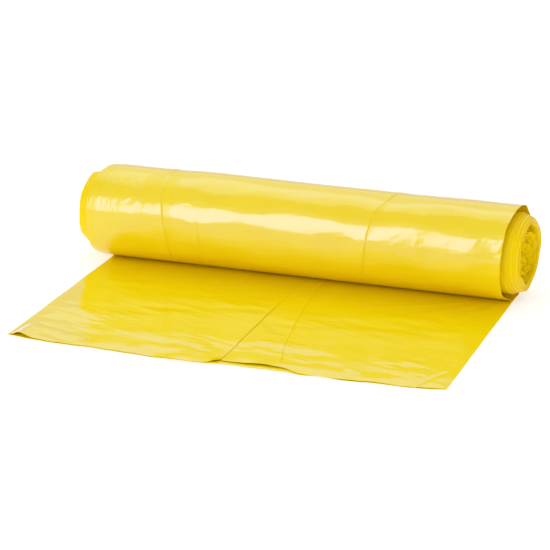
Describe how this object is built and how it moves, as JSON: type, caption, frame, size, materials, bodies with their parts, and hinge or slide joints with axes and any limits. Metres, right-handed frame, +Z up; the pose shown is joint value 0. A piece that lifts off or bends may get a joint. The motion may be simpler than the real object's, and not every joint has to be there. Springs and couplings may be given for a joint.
{
  "type": "garbage bag roll",
  "caption": "Coreless roll of garbage bags lying on its side, with the leading bag drawn out flat in front of it and the wound turns showing at both ends.",
  "frame": {"origin": "on the floor straight under the roll's axis, at the middle of the flat leading bag's width", "axes": "+X along the roll's axis, -Y towards the loose end of the leading bag, +Z up"},
  "size_m": [0.3845, 0.259, 0.0779],
  "materials": {
    "yellow_film": "glossy thin polyethylene film, opaque where it is layered"
  },
  "bodies": {
    "root": {"rolled_bags": "yellow_film", "leading_bag": "yellow_film"}
  },
  "joints": []
}
